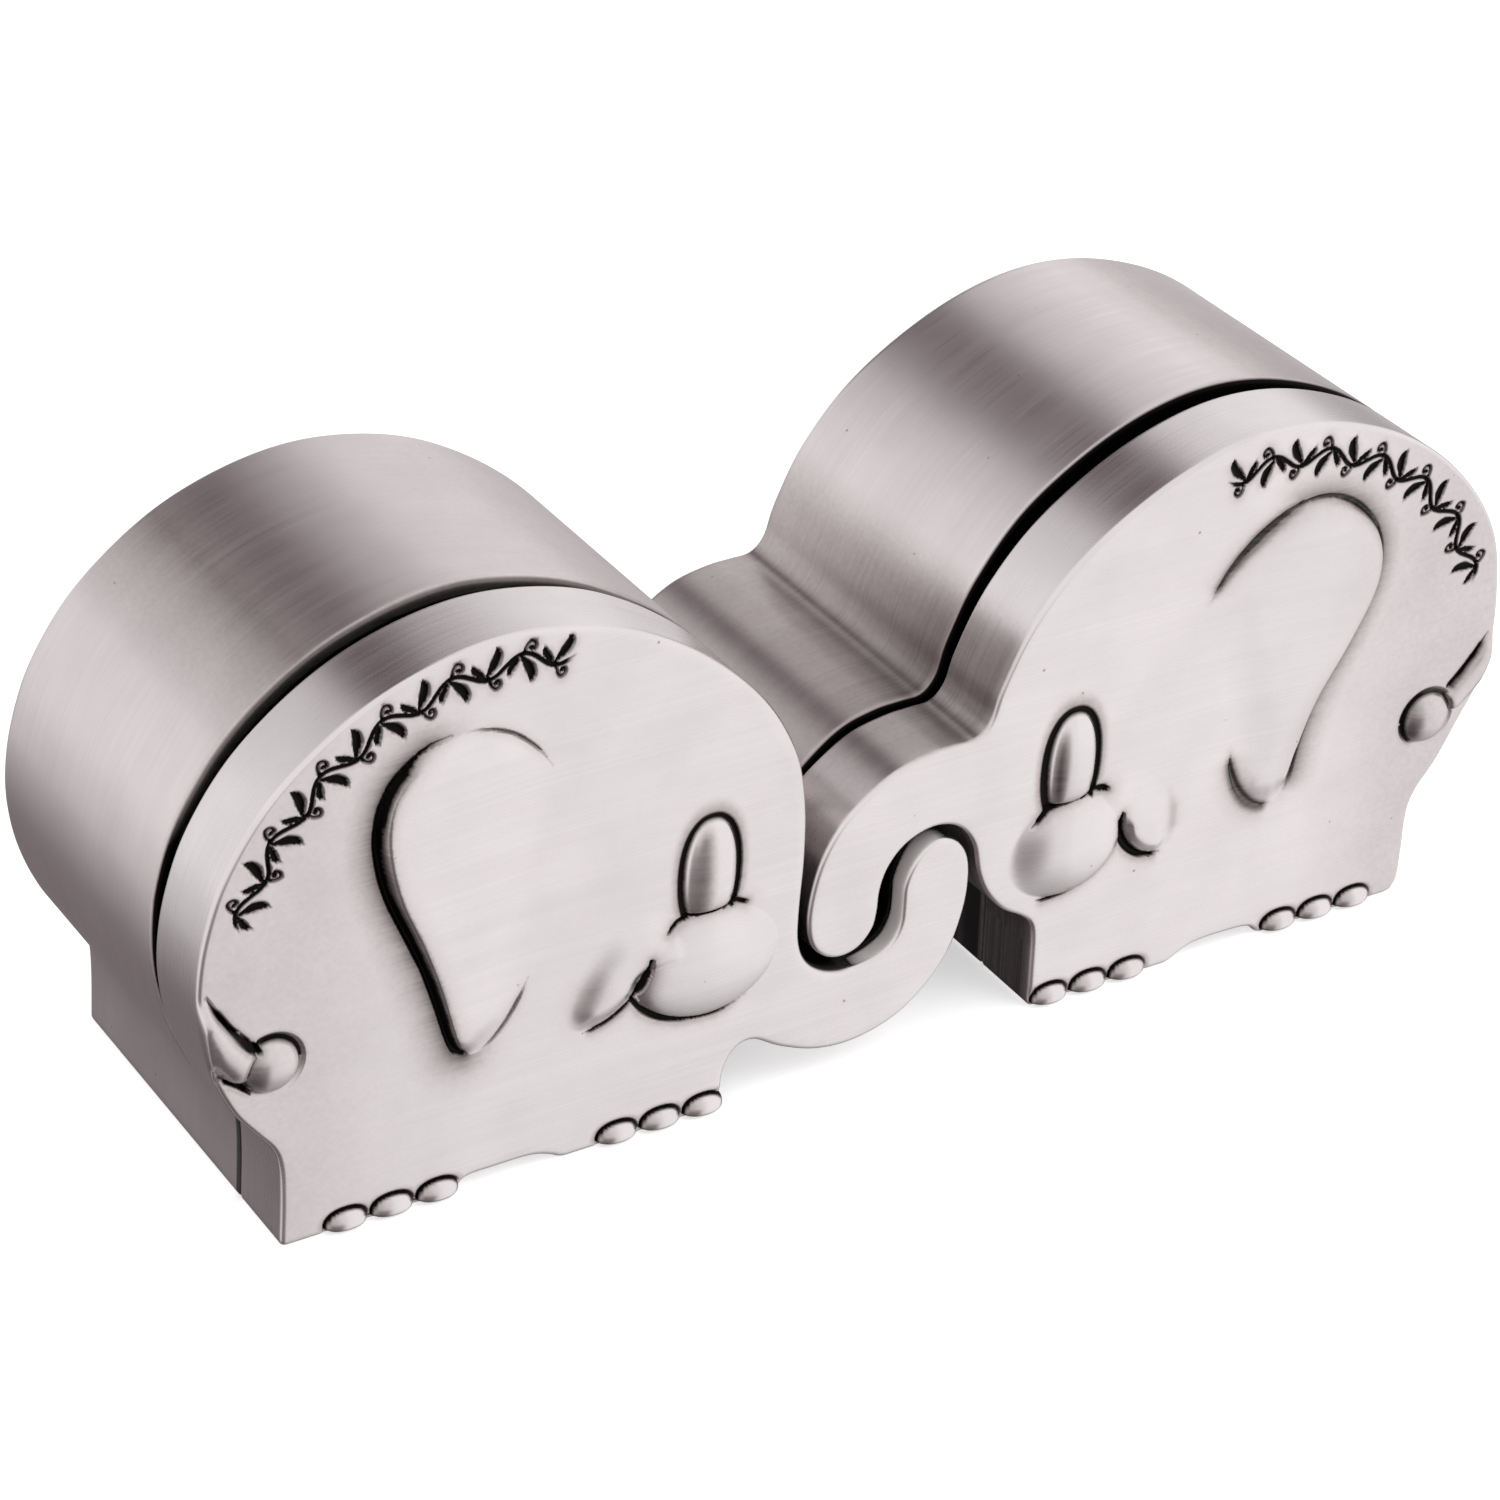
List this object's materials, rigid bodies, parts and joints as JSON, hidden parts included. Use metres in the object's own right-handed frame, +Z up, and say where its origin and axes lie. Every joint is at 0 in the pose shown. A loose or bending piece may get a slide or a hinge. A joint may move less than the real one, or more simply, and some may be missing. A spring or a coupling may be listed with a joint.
{
  "type": "baby tooth box",
  "caption": "Linked elephant keepsake boxes of cast pewter for a baby's first tooth and first curl, with thick relief lids that pull off forwards.",
  "frame": {"origin": "on the table, under the middle of the pair's bounding box", "axes": "+X along the pair, from the tooth elephant to the curl elephant; -Y out of the lids, the way they pull off; +Z up"},
  "size_m": [0.1056, 0.0314, 0.0429],
  "materials": {
    "body_metal": "brushed antique pewter, satin, fine streaks along the outline",
    "lid_metal": "brushed antique pewter, satin, near-black patina in the recesses",
    "flock": "midnight blue flock",
    "velvet": "midnight blue velvet",
    "magnet_nickel": "nickel plated"
  },
  "bodies": {
    "tooth_box": {"tooth_body": "body_metal", "tooth_lining": "flock", "tooth_back_pad": "velvet", "tooth_body_magnet_front": "magnet_nickel", "tooth_body_magnet_back": "magnet_nickel"},
    "tooth_cover": {"tooth_lid": "lid_metal", "tooth_lid_pad": "velvet", "tooth_lid_magnet_front": "magnet_nickel", "tooth_lid_magnet_back": "magnet_nickel"},
    "curl_box": {"curl_body": "body_metal", "curl_lining": "flock", "curl_back_pad": "velvet", "curl_body_magnet_front": "magnet_nickel", "curl_body_magnet_back": "magnet_nickel"},
    "curl_cover": {"curl_lid": "lid_metal", "curl_lid_pad": "velvet", "curl_lid_magnet_front": "magnet_nickel", "curl_lid_magnet_back": "magnet_nickel"}
  },
  "joints": [
    {"name": "boxes_unlink", "type": "slide", "parent": "tooth_box", "child": "curl_box", "axis": [0, -1, 0], "range_m": [-0.045, 0.045]},
    {"name": "tooth_lid_pull", "type": "slide", "parent": "tooth_box", "child": "tooth_cover", "axis": [0, -1, 0], "range_m": [0, 0.04]},
    {"name": "curl_lid_pull", "type": "slide", "parent": "curl_box", "child": "curl_cover", "axis": [0, -1, 0], "range_m": [0, 0.04]}
  ]
}
